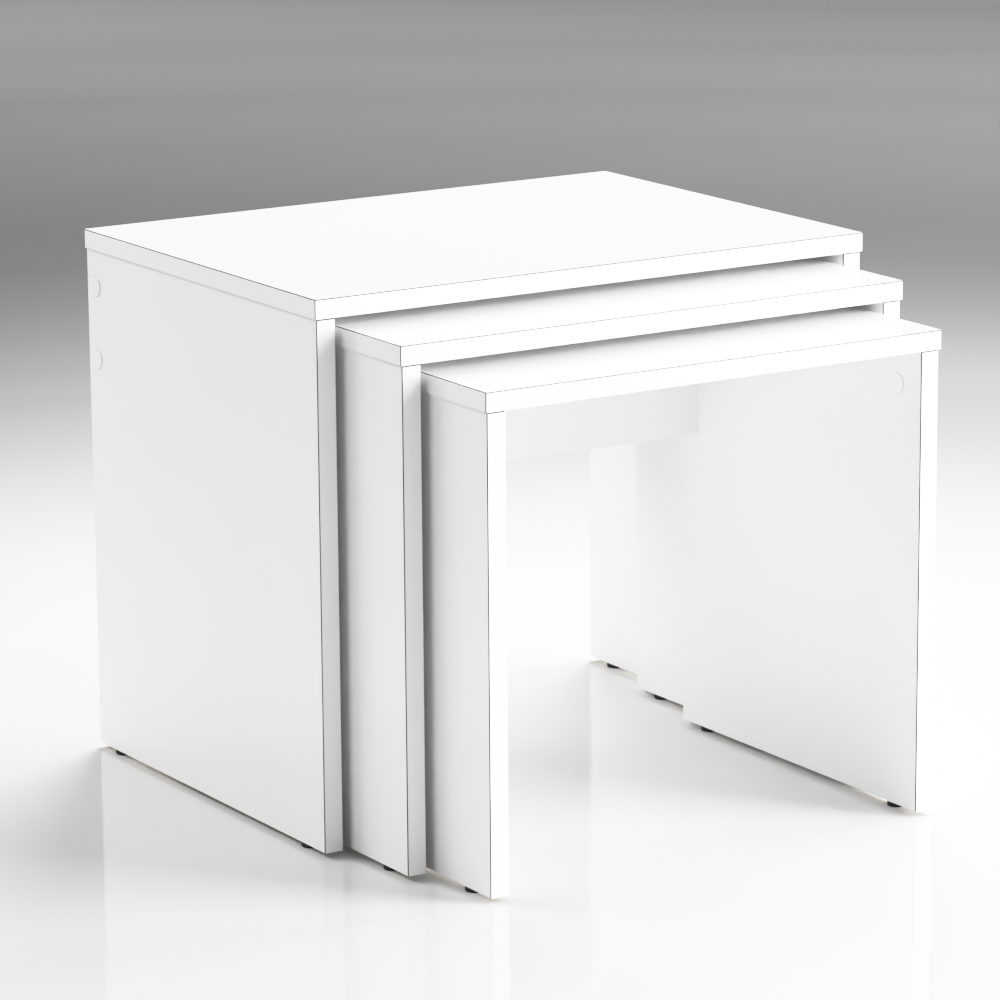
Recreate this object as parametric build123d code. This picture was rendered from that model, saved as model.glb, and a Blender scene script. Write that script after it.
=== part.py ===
from build123d import *
from dataclasses import dataclass
import os

# A nest of three open tables made of white faced board, in millimetres.
# Each table is a top on two side panels, with a rail across the back under
# the top, and stands on four small round feet.  The smaller tables slide
# into the larger ones from the front.
#
# +X is to the right, +Y to the back and +Z up.  The origin is on the floor,
# under the middle of the whole set with the smaller tables pulled part out.

# The large table, and how much smaller each next table is.
LARGE_WIDTH = 600.0
LARGE_DEPTH = 440.0
LARGE_HEIGHT = 517.0
WIDTH_STEP = 55.0
DEPTH_STEP = 28.0
HEIGHT_STEP = 28.0

# How far each smaller table stands out in front of the next larger one.
MEDIUM_PULLED_OUT = 100.0
SMALL_PULLED_OUT = 95.0

# Board, and the laminate and edge strips glued to it.
BOARD = 18.0
LAMINATE = 1.0
STRIP = 2.0
THIN_BAND = 0.5
SIDE_OVERHANG = 2.0
FRONT_OVERHANG = 1.5
STRIP_END_GAP = 1.6

# Back rail.
RAIL_HEIGHT = 142.0
RAIL_INSET = 7.0

# Feet and the nails that hold them.
FOOT_RADIUS = 9.0
FOOT_HEIGHT = 5.0
FOOT_ROUNDING = 1.0
FOOT_FROM_FRONT = 42.0
FOOT_FROM_BACK = 34.0
NAIL_RADIUS = 1.1
NAIL_HEAD_RADIUS = 3.0
NAIL_HEAD_HEIGHT = 1.0
NAIL_DEPTH = 16.0
NAIL_RECESS_RADIUS = 3.6
NAIL_RECESS_DEPTH = 2.2

# Round caps that cover the fittings. They stand a little proud of the board's
# face, with a narrow gap around them in the mouths of their holes.
CAP_SEAT_RADIUS = 9.9
CAP_PROUD = 1.0
CAP_ROUNDING = 0.4
COVER_CAP_RADIUS = 9.5
COVER_CAP_THICKNESS = 2.4
COVER_CAP_INSIDE = COVER_CAP_THICKNESS - CAP_PROUD
COVER_CAP_SKIRT_OUTER = 9.85
COVER_CAP_SKIRT_INNER = 8.4
COVER_CAP_SKIRT_LENGTH = 2.0
CAM_CAP_RADIUS = 9.8
CAM_CAP_THICKNESS = 1.9
CAM_CAP_INSIDE = CAM_CAP_THICKNESS - CAP_PROUD
CAM_CAP_STUD_RADIUS = 2.0
CAM_CAP_STUD_LENGTH = 2.4

# Screws through the side panels into the ends of the rail.
RAIL_SCREW_DROPS = (36.0, 107.0)
SCREW_RADIUS = 3.5
SCREW_LENGTH = 45.0
SCREW_TIP_LENGTH = 4.0
SCREW_TIP_RADIUS = 1.5
SCREW_HEAD_RADIUS = 7.0
SCREW_HEAD_HEIGHT = 2.4
SCREW_SOCKET_WIDTH = 4.0
SCREW_SOCKET_DEPTH = 1.6

# Cam fittings and dowels that join the top to the side panels.
FITTING_FROM_EDGE = 37.0
DOWEL_SPACING = 32.0
CAM_DROP = 36.0
CAM_RADIUS = 7.5
CAM_HEIGHT = 12.2
CAM_SOCKET_RADIUS = 2.2
CAM_SOCKET_DEPTH = 3.0
BOLT_THREAD_RADIUS = 2.5
BOLT_THREAD_LENGTH = 11.0
BOLT_SHANK_RADIUS = 3.0
BOLT_NECK_RADIUS = 2.0
BOLT_NECK_LENGTH = 3.0
BOLT_HEAD_RADIUS = 3.2
BOLT_HEAD_HEIGHT = 3.0
BOLT_BORE_RADIUS = 3.8
DOWEL_RADIUS = 4.0
DOWEL_IN_TOP = 10.0
DOWEL_IN_SIDE = 20.0
DOWEL_CHAMFER = 1.0

# Room left around and beyond a fitting in its hole.
HOLE_CLEARANCE = 0.05
HOLE_EXTRA_DEPTH = 1.0

LEFT = -1
RIGHT = 1
SIDES = (LEFT, RIGHT)
UP = (0, 0, 1)


@dataclass
class Table:
    """One table of the nest: its outer size and where its front edge is."""

    name: str
    width: float
    depth: float
    height: float
    front: float

    @property
    def half_width(self):
        return self.width / 2

    @property
    def back(self):
        return self.front + self.depth

    @property
    def underside(self):
        return self.height - BOARD

    @property
    def panel_front(self):
        return self.front + FRONT_OVERHANG

    @property
    def outer_x(self):
        return self.half_width - SIDE_OVERHANG

    @property
    def inner_x(self):
        return self.outer_x - BOARD

    @property
    def middle_x(self):
        return self.outer_x - BOARD / 2

    @property
    def rail_front(self):
        return self.back - RAIL_INSET - BOARD

    @property
    def rail_middle(self):
        return self.back - RAIL_INSET - BOARD / 2

    @property
    def rail_bottom(self):
        return self.underside - RAIL_HEIGHT

    def foot_rows(self):
        """Y of the front and back feet."""
        return (self.panel_front + FOOT_FROM_FRONT, self.back - FOOT_FROM_BACK)

    def cam_rows(self):
        """Y of the front and back cam fittings."""
        return (self.panel_front + FITTING_FROM_EDGE, self.rail_front - FITTING_FROM_EDGE)

    def dowel_rows(self):
        """Y of the dowels, one step in from each cam fitting."""
        front_cam, back_cam = self.cam_rows()
        return (front_cam + DOWEL_SPACING, back_cam - DOWEL_SPACING)


def block(x_range, y_range, z_range):
    """A box between two corners."""
    (x0, x1), (y0, y1), (z0, z1) = x_range, y_range, z_range
    centre = Pos((x0 + x1) / 2, (y0 + y1) / 2, (z0 + z1) / 2)
    return centre * Box(x1 - x0, y1 - y0, z1 - z0)


def rod(start, direction, radius, length):
    """A cylinder that begins at start and runs along direction."""
    along = (Align.CENTER, Align.CENTER, Align.MIN)
    return Plane(origin=start, z_dir=direction) * Cylinder(radius, length, align=along)


def turned(start, direction, outline):
    """A solid of revolution about direction, from (radius, distance) points."""
    points = [(0, outline[0][1]), *outline, (0, outline[-1][1])]
    section = make_face(Polyline(*[(r, 0, d) for r, d in points], close=True))
    return Plane(origin=start, z_dir=direction) * revolve(section, Axis.Z)


def side_range(side, near, far):
    """An X range given from the middle outwards, on the left or right."""
    return tuple(sorted((side * near, side * far)))


def cut_all(board, tools):
    """The board with every tool cut away from it."""
    for tool in tools:
        board = board - tool
    return board


def top_panel(table):
    """Core board of the top, drilled from below for dowels and cam bolts."""
    half = table.half_width - STRIP
    board = block(
        (-half, half),
        (table.front + STRIP, table.back - STRIP),
        (table.underside, table.height - LAMINATE),
    )
    holes = []
    for side in SIDES:
        x = side * table.middle_x
        for y in table.dowel_rows():
            depth = DOWEL_IN_TOP + HOLE_EXTRA_DEPTH
            holes.append(rod((x, y, table.underside), UP, DOWEL_RADIUS + HOLE_CLEARANCE, depth))
        for y in table.cam_rows():
            depth = BOLT_THREAD_LENGTH + HOLE_EXTRA_DEPTH
            holes.append(rod((x, y, table.underside), UP, BOLT_THREAD_RADIUS + HOLE_CLEARANCE, depth))
    return [cut_all(board, holes)]


def top_laminate(table):
    """Thin sheet that faces the top and covers the upper ends of its strips."""
    half = table.half_width
    return [block((-half, half), (table.front, table.back), (table.height - LAMINATE, table.height))]


def top_front_strip(table):
    """Strip on the top's front edge, across its whole width."""
    half = table.half_width
    heights = (table.underside, table.height - LAMINATE)
    return [block((-half, half), (table.front, table.front + STRIP), heights)]


def top_edge_strips(table):
    """Strips on the top's left, right and back edges, behind the front strip."""
    half = table.half_width
    heights = (table.underside, table.height - LAMINATE)
    strips = [
        block(side_range(side, half - STRIP, half), (table.front + STRIP, table.back), heights)
        for side in SIDES
    ]
    inner = half - STRIP
    strips.append(block((-inner, inner), (table.back - STRIP, table.back), heights))
    return strips


def side_panel(table, side):
    """A side panel, drilled for the feet, the cams, the dowels and the rail screws."""
    board = block(
        side_range(side, table.inner_x, table.outer_x),
        (table.panel_front + STRIP, table.back - THIN_BAND),
        (FOOT_HEIGHT, table.underside),
    )
    holes = []
    middle = side * table.middle_x
    down = (0, 0, -1)
    for y in table.foot_rows():
        depth = NAIL_DEPTH + HOLE_EXTRA_DEPTH
        holes.append(rod((middle, y, FOOT_HEIGHT), UP, NAIL_RADIUS + HOLE_CLEARANCE, depth))
    for y in table.dowel_rows():
        depth = DOWEL_IN_SIDE + HOLE_EXTRA_DEPTH
        holes.append(rod((middle, y, table.underside), down, DOWEL_RADIUS + HOLE_CLEARANCE, depth))
    for y in table.cam_rows():
        mouth = (side * table.inner_x, y, table.underside - CAM_DROP)
        outward = (side, 0, 0)
        cam_depth = CAM_CAP_INSIDE + CAM_HEIGHT
        holes.append(rod((middle, y, table.underside), down, BOLT_BORE_RADIUS, CAM_DROP))
        holes.append(rod(mouth, outward, CAP_SEAT_RADIUS, CAM_CAP_INSIDE))
        holes.append(rod(mouth, outward, CAM_RADIUS + HOLE_CLEARANCE, cam_depth))
    for drop in RAIL_SCREW_DROPS:
        mouth = (side * table.outer_x, table.rail_middle, table.underside - drop)
        inward = (-side, 0, 0)
        holes.append(rod(mouth, inward, CAP_SEAT_RADIUS, COVER_CAP_INSIDE + SCREW_HEAD_HEIGHT))
        holes.append(rod(mouth, inward, SCREW_RADIUS + HOLE_CLEARANCE, BOARD))
    return [cut_all(board, holes)]


def side_front_strips(table):
    """Strips on the front edges of both side panels, just clear of the top."""
    return [
        block(
            side_range(side, table.inner_x, table.outer_x),
            (table.panel_front, table.panel_front + STRIP),
            (FOOT_HEIGHT, table.underside - STRIP_END_GAP),
        )
        for side in SIDES
    ]


def side_back_bands(table):
    """Thin bands on the back edges of both side panels."""
    return [
        block(
            side_range(side, table.inner_x, table.outer_x),
            (table.back - THIN_BAND, table.back),
            (FOOT_HEIGHT, table.underside),
        )
        for side in SIDES
    ]


def back_rail(table):
    """Rail that ties the side panels together under the back of the top."""
    board = block(
        (-table.inner_x, table.inner_x),
        (table.rail_front, table.rail_front + BOARD),
        (table.rail_bottom + THIN_BAND, table.underside),
    )
    screw_in_rail = SCREW_LENGTH - (BOARD - COVER_CAP_INSIDE - SCREW_HEAD_HEIGHT)
    depth = screw_in_rail + HOLE_EXTRA_DEPTH
    holes = [
        rod(
            (side * table.inner_x, table.rail_middle, table.underside - drop),
            (-side, 0, 0),
            SCREW_RADIUS + HOLE_CLEARANCE,
            depth,
        )
        for side in SIDES
        for drop in RAIL_SCREW_DROPS
    ]
    return [cut_all(board, holes)]


def rail_edge_band(table):
    """Thin band on the lower edge of the back rail."""
    return [
        block(
            (-table.inner_x, table.inner_x),
            (table.rail_front, table.rail_front + BOARD),
            (table.rail_bottom, table.rail_bottom + THIN_BAND),
        )
    ]


def foot_centres(table):
    """The floor points under the middles of the four feet."""
    return [(side * table.middle_x, y, 0) for side in SIDES for y in table.foot_rows()]


def feet(table):
    """Round plastic glides with a rounded lower rim and a recess for the nail's head."""
    solids = []
    for centre in foot_centres(table):
        body = rod(centre, UP, FOOT_RADIUS, FOOT_HEIGHT)
        lower_rim = body.edges().group_by(Axis.Z)[0]
        body = fillet(lower_rim, FOOT_ROUNDING)
        body = body - rod(centre, UP, NAIL_RECESS_RADIUS, NAIL_RECESS_DEPTH)
        body = body - rod(centre, UP, NAIL_RADIUS + HOLE_CLEARANCE, FOOT_HEIGHT)
        solids.append(body)
    return solids


def foot_nails(table):
    """Nails driven up through the feet into the side panels."""
    head_bottom = NAIL_RECESS_DEPTH - NAIL_HEAD_HEIGHT
    tip = FOOT_HEIGHT + NAIL_DEPTH
    outline = [
        (NAIL_HEAD_RADIUS, head_bottom),
        (NAIL_HEAD_RADIUS, NAIL_RECESS_DEPTH),
        (NAIL_RADIUS, NAIL_RECESS_DEPTH),
        (NAIL_RADIUS, tip - 2 * NAIL_RADIUS),
        (NAIL_RADIUS / 4, tip),
    ]
    return [turned(centre, UP, outline) for centre in foot_centres(table)]


def rail_screw_places(table):
    """Where each rail screw's hole opens on an outer face, and its way in."""
    return [
        ((side * table.outer_x, table.rail_middle, table.underside - drop), (-side, 0, 0))
        for side in SIDES
        for drop in RAIL_SCREW_DROPS
    ]


def rail_screws(table):
    """Flat headed screws with a square socket, through the sides into the rail."""
    head_start = COVER_CAP_INSIDE
    head_end = head_start + SCREW_HEAD_HEIGHT
    tip = head_end + SCREW_LENGTH
    outline = [
        (SCREW_HEAD_RADIUS, head_start),
        (SCREW_HEAD_RADIUS, head_end),
        (SCREW_RADIUS, head_end),
        (SCREW_RADIUS, tip - SCREW_TIP_LENGTH),
        (SCREW_TIP_RADIUS, tip),
    ]
    solids = []
    for mouth, inward in rail_screw_places(table):
        socket_depth = head_start + SCREW_SOCKET_DEPTH
        along = (Align.CENTER, Align.CENTER, Align.MIN)
        socket = Box(SCREW_SOCKET_WIDTH, SCREW_SOCKET_WIDTH, socket_depth, align=along)
        solids.append(turned(mouth, inward, outline) - Plane(origin=mouth, z_dir=inward) * socket)
    return solids


def cover_caps(table):
    """Caps with a thin skirt that close the rail screws' holes."""
    face = -CAP_PROUD
    inside = COVER_CAP_INSIDE
    skirt_end = inside + COVER_CAP_SKIRT_LENGTH
    outline = [
        (COVER_CAP_RADIUS - CAP_ROUNDING, face),
        (COVER_CAP_RADIUS, face + CAP_ROUNDING),
        (COVER_CAP_RADIUS, inside),
        (COVER_CAP_SKIRT_OUTER, inside),
        (COVER_CAP_SKIRT_OUTER, skirt_end),
        (COVER_CAP_SKIRT_INNER, skirt_end),
        (COVER_CAP_SKIRT_INNER, inside),
    ]
    return [turned(mouth, inward, outline) for mouth, inward in rail_screw_places(table)]


def cam_places(table):
    """Where each cam's hole opens on an inner face, and its way in."""
    return [
        ((side * table.inner_x, y, table.underside - CAM_DROP), (side, 0, 0))
        for side in SIDES
        for y in table.cam_rows()
    ]


def cam_housings(table):
    """Round cams with a driver socket, each slotted for its bolt's head."""
    solids = []
    for mouth, inward in cam_places(table):
        start = CAM_CAP_INSIDE
        outline = [(CAM_RADIUS, start), (CAM_RADIUS, start + CAM_HEIGHT)]
        cam = turned(mouth, inward, outline)
        cam = cam - rod(mouth, inward, CAM_SOCKET_RADIUS, start + CAM_SOCKET_DEPTH)
        bolt_end = (mouth[0] + inward[0] * BOARD / 2, mouth[1], mouth[2] - HOLE_EXTRA_DEPTH)
        cam = cam - rod(bolt_end, UP, BOLT_BORE_RADIUS, CAM_DROP)
        solids.append(cam)
    return solids


def cam_bolts(table):
    """Bolts that screw up into the top and hang down into the cams."""
    head_end = CAM_DROP
    head_start = head_end - BOLT_HEAD_HEIGHT
    neck_start = head_start - BOLT_NECK_LENGTH
    outline = [
        (BOLT_THREAD_RADIUS, -BOLT_THREAD_LENGTH),
        (BOLT_THREAD_RADIUS, 0),
        (BOLT_SHANK_RADIUS, 0),
        (BOLT_SHANK_RADIUS, neck_start),
        (BOLT_NECK_RADIUS, neck_start),
        (BOLT_NECK_RADIUS, head_start),
        (BOLT_HEAD_RADIUS, head_start),
        (BOLT_HEAD_RADIUS, head_end),
    ]
    return [
        turned((side * table.middle_x, y, table.underside), (0, 0, -1), outline)
        for side in SIDES
        for y in table.cam_rows()
    ]


def cam_caps(table):
    """Caps that close the cams' holes, held by a stud in the driver socket."""
    face = -CAP_PROUD
    inside = CAM_CAP_INSIDE
    outline = [
        (CAM_CAP_RADIUS - CAP_ROUNDING, face),
        (CAM_CAP_RADIUS, face + CAP_ROUNDING),
        (CAM_CAP_RADIUS, inside),
        (CAM_CAP_STUD_RADIUS, inside),
        (CAM_CAP_STUD_RADIUS, inside + CAM_CAP_STUD_LENGTH),
    ]
    return [turned(mouth, inward, outline) for mouth, inward in cam_places(table)]


def top_dowels(table):
    """Wooden dowels between the top and the side panels."""
    low = -DOWEL_IN_SIDE
    high = DOWEL_IN_TOP
    outline = [
        (DOWEL_RADIUS - DOWEL_CHAMFER, low),
        (DOWEL_RADIUS, low + DOWEL_CHAMFER),
        (DOWEL_RADIUS, high - DOWEL_CHAMFER),
        (DOWEL_RADIUS - DOWEL_CHAMFER, high),
    ]
    return [
        turned((side * table.middle_x, y, table.underside), UP, outline)
        for side in SIDES
        for y in table.dowel_rows()
    ]


PIECES = {
    "top_panel": top_panel,
    "top_laminate": top_laminate,
    "top_front_strip": top_front_strip,
    "top_edge_strips": top_edge_strips,
    "left_side_panel": lambda table: side_panel(table, LEFT),
    "right_side_panel": lambda table: side_panel(table, RIGHT),
    "side_front_strips": side_front_strips,
    "side_back_bands": side_back_bands,
    "back_rail": back_rail,
    "rail_edge_band": rail_edge_band,
    "feet": feet,
    "foot_nails": foot_nails,
    "rail_screws": rail_screws,
    "cover_caps": cover_caps,
    "cam_housings": cam_housings,
    "cam_bolts": cam_bolts,
    "cam_caps": cam_caps,
    "top_dowels": top_dowels,
}


def nest_of_tables():
    """The three tables, largest first, each with its front edge in its place."""
    set_depth = LARGE_DEPTH + MEDIUM_PULLED_OUT + SMALL_PULLED_OUT
    small_front = -set_depth / 2
    medium_front = small_front + SMALL_PULLED_OUT
    large_front = medium_front + MEDIUM_PULLED_OUT
    tables = []
    for step, (name, front) in enumerate(
        (("large", large_front), ("medium", medium_front), ("small", small_front))
    ):
        tables.append(
            Table(
                name,
                LARGE_WIDTH - step * WIDTH_STEP,
                LARGE_DEPTH - step * DEPTH_STEP,
                LARGE_HEIGHT - step * HEIGHT_STEP,
                front,
            )
        )
    return tables


def main():
    os.makedirs("parts", exist_ok=True)
    for table in nest_of_tables():
        for piece, make in PIECES.items():
            node = f"{table.name}_{piece}"
            solids = [solid for shape in make(table) for solid in shape.solids()]
            export_step(Compound(solids), f"parts/{node}.step")
            print(node, len(solids))


main()
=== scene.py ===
import bpy
import math
from mathutils import Matrix, Vector


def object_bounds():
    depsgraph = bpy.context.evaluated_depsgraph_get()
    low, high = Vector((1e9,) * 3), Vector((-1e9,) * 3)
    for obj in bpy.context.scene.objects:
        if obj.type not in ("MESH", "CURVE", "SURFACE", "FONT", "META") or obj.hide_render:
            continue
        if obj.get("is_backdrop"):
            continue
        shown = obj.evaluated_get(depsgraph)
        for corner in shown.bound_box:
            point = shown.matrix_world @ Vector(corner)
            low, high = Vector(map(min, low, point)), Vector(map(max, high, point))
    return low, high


# A nest of three white tables in a plain studio. Everything is in metres.
# +X is to the right, +Y to the back and +Z up.

TABLES = ("large", "medium", "small")

# The camera, at the height and bearing of the view that the tables are judged from.
CAMERA_AT = (-2.3516, -3.6709, 1.2995)
CAMERA_BEARING = -32.294
CAMERA_DIP = 13.260
CAMERA_ROLL = -0.426
LENS = 169.86
SENSOR = 36.0
FARTHEST_SEEN = 100.0

# The studio.
FLOOR_HALF = 14.0
FLOOR_ROUGHNESS = 0.06
FLOOR_PALE_RADIUS = 1.0
FLOOR_FAR_RADIUS = 2.7
FLOOR_RAMP_LENGTH = 8.0
# Distance from the middle of the tables, and how pale the floor is painted there. This is painted
# light: a pool of light round the tables that fades out, and painted light on the backdrop far off.
FLOOR_PAINTED_LIGHT = (
    (0.0, 0.78),
    (0.75, 0.72),
    (0.9, 0.58),
    (1.1, 0.49),
    (1.3, 0.39),
    (1.5, 0.3),
    (1.65, 0.235),
    (1.83, 0.152),
    (2.03, 0.1),
    (2.25, 0.071),
    (2.5, 0.052),
    (2.8, 0.04),
    (3.1, 0.043),
    (3.4, 0.058),
    (3.9, 0.096),
    (4.5, 0.168),
    (5.2, 0.34),
    (6.0, 0.72),
)
BACKDROP_ROUGHNESS = 0.8
WORLD_LEVEL = 0.08

# The picture's highlights: tones above the knee close in on white without reaching it.
HIGHLIGHT_KNEE = 0.5
BRIGHTEST = 4.0
HIGHLIGHT_STOPS = (0.6, 0.7, 0.8, 0.95, 1.1, 1.3, 1.6, 2.0, 2.5, 3.2)
BRIGHTNESS_CURVE = 3

# Edge roundings of the boards, in metres. An edge that turns by less than the angle, in
# degrees, is left alone.
BOARD_ROUNDING = 0.0003
SHEET_ROUNDING = 0.00015
ROUNDING_SEGMENTS = 2
LEAST_ROUNDED_ANGLE = 50.0

# How nearly a white face must look along its axis. Beyond that, on the sides and on
# the rounded edges of a strip, the dark core shows.
SQUARE_ON = 0.97

# Bare material: the strips' dark core, painted shade on the board edges behind the strips, and the
# chips of the particle board.
BARE_ROUGHNESS = 0.6
CORE_TONE = 0.004
CORE_GRAINS_PER_METRE = 1500.0
GAP_SHADE_TONE = 0.01
CHIPS_PER_METRE = 420.0
CHIP_GRAINS_PER_METRE = 1600.0
CHIP_RELIEF = 0.00015
DARK_CHIP = (0.36, 0.31, 0.24, 1.0)
PALE_CHIP = (0.72, 0.66, 0.55, 1.0)

# The white facings: how white each one is, and its slight faults.
BOARD_WHITE = 0.87
LAMINATE_WHITE = 0.88
BAND_WHITE = 0.86
DULLEST_SHARE = 0.988
CLOUDS_PER_METRE = 7.0
WIPES_PER_METRE = 2.0
WIPE_STRETCH = (9.0, 9.0, 2.5)
SMOOTHEST_FACING = 0.045
ROUGHEST_FACING = 0.085
RIPPLES_PER_METRE = 55.0
RIPPLE_HEIGHT = 0.000006
PEARLS_PER_METRE = 900.0
PEARL_HEIGHT = 0.0000012

# Dirt on the white facings.
SPECKS_PER_METRE = 22.0
SPECK_RADIUS = 0.0006
SPECK_TONE = 0.3

# The part of a noise's 0 to 1 that nearly all of it falls in.
NOISE_LOW = 0.3
NOISE_HIGH = 0.7

# White plastic of the caps.
DULL_CAP_TONE = 0.855
PALE_CAP_TONE = 0.87
CAP_MOTTLES_PER_METRE = 60.0
CAP_ROUGHNESS = (0.16, 0.24)
CAP_SHEENS_PER_METRE = 400.0
CAP_GRAINS_PER_METRE = 1200.0
CAP_GRAIN_HEIGHT = 0.000001

# Black plastic of the feet, and the dust on it.
FOOT_TONE = 0.004
DUST_TONE = 0.025
DUST_PATCHES_PER_METRE = 300.0
FOOT_ROUGHNESS = (0.38, 0.6)
FOOT_SHEENS_PER_METRE = 500.0
FOOT_GRAINS_PER_METRE = 1500.0
FOOT_GRAIN_HEIGHT = 0.00001
FOOT_REFLECTANCE = 0.25

# The two metals: how pale and how rough each one is, and the bloom and grain of both.
STEEL = (0.6, 0.28)
CAST_ZINC = (0.5, 0.4)
BLOOMS_PER_METRE = 180.0
BLOOM_ROUGHENING = 0.18
METAL_GRAINS_PER_METRE = 2200.0
METAL_GRAIN_HEIGHT = 0.000008

# Raw beech of the dowels, with flecks along their length.
DARK_BEECH = (0.62, 0.42, 0.24, 1.0)
PALE_BEECH = (0.78, 0.6, 0.4, 1.0)
BEECH_ROUGHNESS = 0.7
FLECKS_PER_METRE = 2600.0
FLECK_STRETCH = (1.0, 1.0, 0.08)
FLECK_HEIGHT = 0.00004


# ---------------------------------------------------------------- node helpers


def add(tree, kind, inputs=None, **settings):
    """A new shader node. Sockets in inputs are linked and plain values are set."""
    node = tree.nodes.new(kind)
    for name, value in settings.items():
        setattr(node, name, value)
    for name, value in (inputs or {}).items():
        if isinstance(value, bpy.types.NodeSocket):
            tree.links.new(value, node.inputs[name])
        else:
            node.inputs[name].default_value = value
    return node


def maths(tree, operation, first, second=0.0, clamp=False):
    """One arithmetic node's result."""
    node = add(tree, "ShaderNodeMath", {0: first, 1: second}, operation=operation, use_clamp=clamp)
    return node.outputs[0]


def between(tree, value, low, high, to_low=0.0, to_high=1.0):
    """value eased from one range to another and held at the ends."""
    inputs = {"Value": value, "From Min": low, "From Max": high, "To Min": to_low, "To Max": to_high}
    node = add(tree, "ShaderNodeMapRange", inputs, interpolation_type="SMOOTHSTEP", clamp=True)
    return node.outputs["Result"]


def stretched(tree, scale=(1.0, 1.0, 1.0)):
    """Object coordinates, in metres, multiplied by scale."""
    place = add(tree, "ShaderNodeTexCoord").outputs["Object"]
    node = add(tree, "ShaderNodeVectorMath", {0: place, 1: scale}, operation="MULTIPLY")
    return node.outputs[0]


def noise(tree, place, scale, detail=3.0, roughness=0.5):
    """Soft noise from 0 to 1, with scale in waves per metre."""
    inputs = {"Vector": place, "Scale": scale, "Detail": detail, "Roughness": roughness}
    return add(tree, "ShaderNodeTexNoise", inputs).outputs["Fac"]


def mixed(tree, factor, first, second):
    """A colour between two colours."""
    node = add(tree, "ShaderNodeMix", {0: factor, 6: first, 7: second}, data_type="RGBA")
    return node.outputs[2]


def grey(level, warmth=0.0):
    """A colour near grey. warmth lifts the red and lowers the blue."""
    return (level * (1 + warmth), level, level * (1 - warmth), 1.0)


def bump(tree, height, distance, normal=None):
    """A bump from a height of 0 to 1 that stands for distance, in metres."""
    inputs = {"Height": height, "Distance": distance, "Strength": 1.0}
    if normal is not None:
        inputs["Normal"] = normal
    return add(tree, "ShaderNodeBump", inputs).outputs["Normal"]


def new_material(name):
    """An empty material with its output and one Principled shader."""
    material = bpy.data.materials.new(name)
    material.use_nodes = True
    tree = material.node_tree
    tree.nodes.clear()
    shader = add(tree, "ShaderNodeBsdfPrincipled")
    add(tree, "ShaderNodeOutputMaterial", {"Surface": shader.outputs["BSDF"]})
    return material, tree, shader


def connect(tree, shader, **values):
    """Sets the shader's sockets, named with _ for each space."""
    for name, value in values.items():
        socket = shader.inputs[name.replace("_", " ")]
        if isinstance(value, bpy.types.NodeSocket):
            tree.links.new(value, socket)
        else:
            socket.default_value = value


# ---------------------------------------------------------------- materials


def normal_along(tree, axis):
    """How far the surface's true normal points along an axis, from -1 to 1."""
    normal = add(tree, "ShaderNodeNewGeometry").outputs["True Normal"]
    return add(tree, "ShaderNodeSeparateXYZ", {0: normal}).outputs[axis]


def facing(tree, axis):
    """1 where the surface looks along an axis, either way, and 0 where it doesn't."""
    along = maths(tree, "ABSOLUTE", normal_along(tree, axis))
    return maths(tree, "GREATER_THAN", along, SQUARE_ON)


def facing_sideways(tree):
    """1 on faces that look left, right, forwards or backwards, and 0 elsewhere."""
    return maths(tree, "MAXIMUM", facing(tree, "X"), facing(tree, "Y"))


def facing_down(tree):
    """1 where the surface looks straight down and 0 where it doesn't."""
    return maths(tree, "LESS_THAN", normal_along(tree, "Z"), -SQUARE_ON)


def specks(tree, place):
    """1 in a few specks of dirt, mostly under a millimetre across, and 0 elsewhere."""
    inputs = {"Vector": place, "Scale": SPECKS_PER_METRE}
    nearest = add(tree, "ShaderNodeTexVoronoi", inputs).outputs["Distance"]
    radius = SPECK_RADIUS * SPECKS_PER_METRE
    return between(tree, nearest, radius * 0.5, radius, 1.0, 0.0)


def decor(tree, white):
    """Colour, roughness and normal of a hard white semi-gloss facing."""
    place = stretched(tree)
    cloud = noise(tree, place, CLOUDS_PER_METRE, 2.0)
    shade = between(tree, cloud, NOISE_LOW, NOISE_HIGH)
    colour = mixed(tree, shade, grey(white * DULLEST_SHARE, 0.002), grey(white, -0.001))
    colour = mixed(tree, specks(tree, place), colour, grey(SPECK_TONE, 0.06))
    wipes = noise(tree, stretched(tree, WIPE_STRETCH), WIPES_PER_METRE, 4.0, 0.6)
    rough = between(tree, wipes, 0.35, 0.75, SMOOTHEST_FACING, ROUGHEST_FACING)
    ripple = noise(tree, place, RIPPLES_PER_METRE, 1.0)
    pearl = noise(tree, place, PEARLS_PER_METRE, 2.0)
    normal = bump(tree, ripple, RIPPLE_HEIGHT)
    normal = bump(tree, pearl, PEARL_HEIGHT, normal)
    return colour, rough, normal


def white_facing(name, white):
    """Plain white facing all over."""
    material, tree, shader = new_material(name)
    colour, rough, normal = decor(tree, white)
    connect(tree, shader, Base_Color=colour, Roughness=rough, Normal=normal)
    return material


def duller(tree, rough, bare):
    """The facing's roughness, raised where the material under it is bare."""
    return maths(tree, "MAXIMUM", rough, maths(tree, "MULTIPLY", bare, BARE_ROUGHNESS))


def chips(tree):
    """Colour and height of bare particle board: pressed chips of two sizes."""
    place = stretched(tree)
    inputs = {"Vector": place, "Scale": CHIPS_PER_METRE}
    coarse = add(tree, "ShaderNodeTexVoronoi", inputs).outputs["Color"]
    fine = noise(tree, place, CHIP_GRAINS_PER_METRE, 4.0)
    tone = maths(tree, "MULTIPLY", add(tree, "ShaderNodeSeparateXYZ", {0: coarse}).outputs["X"], fine)
    colour = mixed(tree, between(tree, tone, 0.05, 0.6), DARK_CHIP, PALE_CHIP)
    return colour, tone


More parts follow.
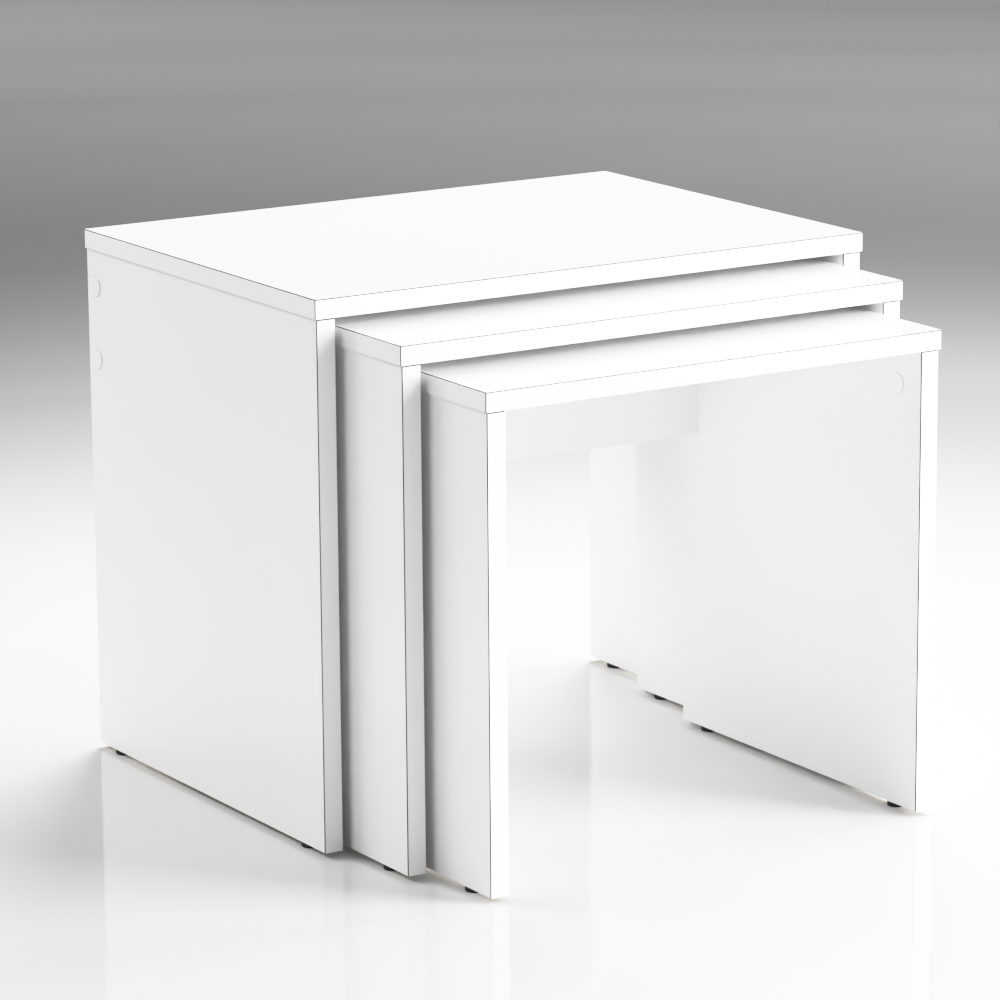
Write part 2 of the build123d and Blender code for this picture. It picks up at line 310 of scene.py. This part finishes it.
def standing_board():
    """White faced board with a bare under edge. The edges behind its strips are painted near-black as
    shade for the gap under each top.
    """
    material, tree, shader = new_material("standing_board")
    colour, rough, normal = decor(tree, BOARD_WHITE)
    chip_colour, chip_height = chips(tree)
    under = facing_down(tree)
    shaded_edges = facing(tree, "Y")
    bare = maths(tree, "MAXIMUM", under, shaded_edges)
    colour = mixed(tree, under, colour, chip_colour)
    # Painted shade: the edges behind the strips are near-black so the gap under each top reads dark.
    colour = mixed(tree, shaded_edges, colour, grey(GAP_SHADE_TONE, 0.1))
    relief = maths(tree, "MULTIPLY", bare, chip_height)
    normal = bump(tree, relief, CHIP_RELIEF, normal)
    connect(tree, shader, Base_Color=colour, Roughness=duller(tree, rough, bare), Normal=normal)
    return material


def dark_cored(name, white, faced_parts):
    """White facing where faced_parts is 1, and its dark core elsewhere."""
    material, tree, shader = new_material(name)
    colour, rough, normal = decor(tree, white)
    faced = faced_parts(tree)
    bare = maths(tree, "SUBTRACT", 1.0, faced)
    grain = noise(tree, stretched(tree), CORE_GRAINS_PER_METRE, 2.0)
    core = mixed(tree, grain, grey(CORE_TONE * 0.6, 0.1), grey(CORE_TONE * 1.5, 0.08))
    colour = mixed(tree, faced, core, colour)
    connect(tree, shader, Base_Color=colour, Roughness=duller(tree, rough, bare), Normal=normal)
    return material


def cap_plastic():
    """White moulded plastic of the round caps."""
    material, tree, shader = new_material("cap_plastic")
    place = stretched(tree)
    mottle = noise(tree, place, CAP_MOTTLES_PER_METRE)
    colour = mixed(tree, mottle, grey(DULL_CAP_TONE, 0.003), grey(PALE_CAP_TONE, 0.001))
    sheen = noise(tree, place, CAP_SHEENS_PER_METRE)
    rough = between(tree, sheen, NOISE_LOW, NOISE_HIGH, *CAP_ROUGHNESS)
    normal = bump(tree, noise(tree, place, CAP_GRAINS_PER_METRE), CAP_GRAIN_HEIGHT)
    connect(tree, shader, Base_Color=colour, Roughness=rough, Normal=normal)
    return material


def foot_plastic():
    """Black moulded plastic of the feet, a little dusty."""
    material, tree, shader = new_material("foot_plastic")
    place = stretched(tree)
    dust = between(tree, noise(tree, place, DUST_PATCHES_PER_METRE, 4.0), 0.5, 0.8)
    colour = mixed(tree, dust, grey(FOOT_TONE), grey(DUST_TONE, 0.04))
    sheen = noise(tree, place, FOOT_SHEENS_PER_METRE)
    rough = between(tree, sheen, NOISE_LOW, NOISE_HIGH, *FOOT_ROUGHNESS)
    normal = bump(tree, noise(tree, place, FOOT_GRAINS_PER_METRE), FOOT_GRAIN_HEIGHT)
    connect(tree, shader, Base_Color=colour, Roughness=rough, Normal=normal)
    connect(tree, shader, Specular_IOR_Level=FOOT_REFLECTANCE)
    return material


def metal(name, level, roughness):
    """Plated steel or cast zinc with a fine grain and a dull bloom."""
    material, tree, shader = new_material(name)
    place = stretched(tree)
    bloom = noise(tree, place, BLOOMS_PER_METRE, 4.0)
    colour = mixed(tree, bloom, grey(level * 0.85, 0.01), grey(level * 1.08, 0.004))
    rough = between(tree, bloom, NOISE_LOW, NOISE_HIGH, roughness, roughness + BLOOM_ROUGHENING)
    normal = bump(tree, noise(tree, place, METAL_GRAINS_PER_METRE, 2.0), METAL_GRAIN_HEIGHT)
    connect(tree, shader, Base_Color=colour, Roughness=rough, Normal=normal, Metallic=1.0)
    return material


def dowel_wood():
    """Raw beech with short flecks along its length."""
    material, tree, shader = new_material("dowel_wood")
    flecks = noise(tree, stretched(tree, FLECK_STRETCH), FLECKS_PER_METRE, 3.0)
    colour = mixed(tree, flecks, DARK_BEECH, PALE_BEECH)
    normal = bump(tree, flecks, FLECK_HEIGHT)
    connect(tree, shader, Base_Color=colour, Roughness=BEECH_ROUGHNESS, Normal=normal)
    return material


def floor_material():
    """Glossy white floor that turns into a matt grey backdrop far behind and around the tables, with
    its light painted in: pale near the tables, dark further out and paler again far off.
    """
    material, tree, shader = new_material("floor")
    place = stretched(tree, (1.0, 1.0, 0.0))
    reach = add(tree, "ShaderNodeVectorMath", {0: place}, operation="LENGTH").outputs["Value"]
    share = maths(tree, "DIVIDE", reach, FLOOR_RAMP_LENGTH)
    # Painted light: the ramp pales the floor where light pools round the tables and again far off on
    # the backdrop.
    ramp = add(tree, "ShaderNodeValToRGB", {"Fac": share})
    stops = ramp.color_ramp.elements
    for radius, level in FLOOR_PAINTED_LIGHT:
        stop = stops.new(radius / FLOOR_RAMP_LENGTH) if radius > 0 else stops[0]
        stop.color = grey(level)
    stops.remove(stops[len(stops) - 1])
    away = between(tree, reach, FLOOR_PALE_RADIUS, FLOOR_FAR_RADIUS)
    rough = between(tree, away, 0.0, 1.0, FLOOR_ROUGHNESS, BACKDROP_ROUGHNESS)
    connect(tree, shader, Base_Color=ramp.outputs["Color"], Roughness=rough)
    return material


# ---------------------------------------------------------------- the tables


def dress(node, material, rounding=0.0):
    """Gives a CAD node its material and rounds its edges a little."""
    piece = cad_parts[node]
    piece.data.materials.clear()
    piece.data.materials.append(material)
    if rounding > 0:
        soften = piece.modifiers.new("rounding", "BEVEL")
        soften.width = rounding
        soften.segments = ROUNDING_SEGMENTS
        soften.limit_method = "ANGLE"
        soften.angle_limit = math.radians(LEAST_ROUNDED_ANGLE)


def dress_tables():
    """Gives every piece of every table its material and rounding."""
    board = white_facing("white_board", BOARD_WHITE)
    standing = standing_board()
    laminate = dark_cored("laminate", LAMINATE_WHITE, lambda tree: facing(tree, "Z"))
    front_strip = dark_cored("front_strip", BOARD_WHITE, lambda tree: facing(tree, "Y"))
    edge_strip = dark_cored("edge_strip", BOARD_WHITE, facing_sideways)
    band = white_facing("white_band", BAND_WHITE)
    caps = cap_plastic()
    steel = metal("steel", *STEEL)
    zinc = metal("cast_zinc", *CAST_ZINC)
    looks = {
        "top_panel": (board, 0.0),
        "top_laminate": (laminate, SHEET_ROUNDING),
        "top_front_strip": (front_strip, SHEET_ROUNDING),
        "top_edge_strips": (edge_strip, SHEET_ROUNDING),
        "left_side_panel": (standing, BOARD_ROUNDING),
        "right_side_panel": (standing, BOARD_ROUNDING),
        "side_front_strips": (front_strip, SHEET_ROUNDING),
        "side_back_bands": (band, 0.0),
        "back_rail": (board, BOARD_ROUNDING),
        "rail_edge_band": (band, 0.0),
        "feet": (foot_plastic(), 0.0),
        "foot_nails": (steel, 0.0),
        "rail_screws": (steel, 0.0),
        "cover_caps": (caps, 0.0),
        "cam_housings": (zinc, 0.0),
        "cam_bolts": (steel, 0.0),
        "cam_caps": (caps, 0.0),
        "top_dowels": (dowel_wood(), 0.0),
    }
    for table in TABLES:
        for piece, (material, rounding) in looks.items():
            dress(f"{table}_{piece}", material, rounding)


# ---------------------------------------------------------------- the studio


def make_floor():
    """One flat sheet that is both the floor and the backdrop."""
    half = FLOOR_HALF
    mesh = bpy.data.meshes.new("floor")
    corners = [(-half, -half, 0), (half, -half, 0), (half, half, 0), (-half, half, 0)]
    mesh.from_pydata(corners, [], [(0, 1, 2, 3)])
    mesh.materials.append(floor_material())
    floor = bpy.data.objects.new("floor", mesh)
    bpy.context.scene.collection.objects.link(floor)
    floor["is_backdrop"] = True


def make_world():
    """Dim even light from all round."""
    world = bpy.data.worlds.new("studio")
    world.use_nodes = True
    tree = world.node_tree
    tree.nodes.clear()
    background = add(tree, "ShaderNodeBackground", {"Color": grey(WORLD_LEVEL), "Strength": 1.0})
    add(tree, "ShaderNodeOutputWorld", {"Surface": background.outputs[0]})
    bpy.context.scene.world = world


# Rows of softboxes: the rise in degrees, the distance, and the width and height of each.
LOW = (9.0, 5.4, 2.6, 1.4)
MIDDLE = (33.0, 4.6, 2.2, 1.8)
UPPER = (43.0, 4.4, 2.2, 1.8)
# Each softbox: its bearing in degrees from the front towards the left, its row and its power.
SOFTBOXES = {
    "front": (0.0, LOW, 45.0),
    "left": (90.0, LOW, 76.0),
    "left_back": (135.0, UPPER, 141.0),
    "right_back": (225.0, UPPER, 366.0),
    "right": (270.0, MIDDLE, 269.0),
    "right_front": (315.0, MIDDLE, 270.0),
    "right_front_low": (315.0, LOW, 617.0),
}


def make_softboxes():
    """Large soft lights in a ring, each aimed at the middle of the tables."""
    lowest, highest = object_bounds()
    aim = (lowest + highest) / 2
    for name, (bearing, (rise, distance, width, height), power) in SOFTBOXES.items():
        turn = math.radians(bearing)
        slope = math.radians(rise)
        flat = math.cos(slope)
        away = Vector((-math.sin(turn) * flat, -math.cos(turn) * flat, math.sin(slope)))
        lamp = bpy.data.lights.new(name, "AREA")
        lamp.shape = "RECTANGLE"
        lamp.size = width
        lamp.size_y = height
        lamp.energy = power
        softbox = bpy.data.objects.new(name, lamp)
        softbox.location = away * distance
        softbox.rotation_mode = "QUATERNION"
        softbox.rotation_quaternion = (aim - softbox.location).to_track_quat("-Z", "Y")
        bpy.context.scene.collection.objects.link(softbox)


def make_camera():
    """The camera, turned to its bearing, dipped and slightly rolled."""
    bearing = math.radians(CAMERA_BEARING)
    dip = math.radians(CAMERA_DIP)
    roll = math.radians(CAMERA_ROLL)
    flat = math.cos(dip)
    ahead = Vector((-math.sin(bearing) * flat, math.cos(bearing) * flat, -math.sin(dip)))
    level = Vector((math.cos(bearing), math.sin(bearing), 0.0))
    upright = level.cross(ahead)
    right = level * math.cos(roll) + upright * math.sin(roll)
    up = upright * math.cos(roll) - level * math.sin(roll)
    turn = Matrix((right, up, -ahead)).transposed().to_4x4()
    data = bpy.data.cameras.new("camera")
    data.lens = LENS
    data.sensor_width = SENSOR
    data.clip_end = FARTHEST_SEEN
    camera = bpy.data.objects.new("camera", data)
    camera.matrix_world = Matrix.Translation(CAMERA_AT) @ turn
    bpy.context.scene.collection.objects.link(camera)
    bpy.context.scene.camera = camera


def softened(level):
    """How bright a scene level comes out: unchanged up to the knee, then ever closer to 1."""
    room = 1 - HIGHLIGHT_KNEE
    if level <= HIGHLIGHT_KNEE:
        return level
    return 1 - room * math.exp((HIGHLIGHT_KNEE - level) / room)


def set_tones():
    """The plain view transform, with soft highlights like a camera's."""
    view = bpy.context.scene.view_settings
    view.view_transform = "Standard"
    view.use_curve_mapping = True
    mapping = view.curve_mapping
    mapping.white_level = (BRIGHTEST, BRIGHTEST, BRIGHTEST)
    points = mapping.curves[BRIGHTNESS_CURVE].points
    knee = points.new(HIGHLIGHT_KNEE / BRIGHTEST, HIGHLIGHT_KNEE)
    knee.handle_type = "VECTOR"
    for level in HIGHLIGHT_STOPS:
        points.new(level / BRIGHTEST, softened(level))
    points[0].handle_type = "VECTOR"
    points[len(points) - 1].location = (1.0, softened(BRIGHTEST))
    mapping.update()


def make_studio():
    """The floor, the lights, the camera and the picture's tones."""
    make_floor()
    make_world()
    make_softboxes()
    make_camera()
    set_tones()


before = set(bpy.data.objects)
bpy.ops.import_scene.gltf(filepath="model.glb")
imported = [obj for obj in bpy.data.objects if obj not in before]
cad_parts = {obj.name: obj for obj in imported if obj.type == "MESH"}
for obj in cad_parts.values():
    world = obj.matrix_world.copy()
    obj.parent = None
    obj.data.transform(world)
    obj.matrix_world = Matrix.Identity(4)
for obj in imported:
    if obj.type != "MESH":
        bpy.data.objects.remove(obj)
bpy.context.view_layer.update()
dress_tables()
make_studio()
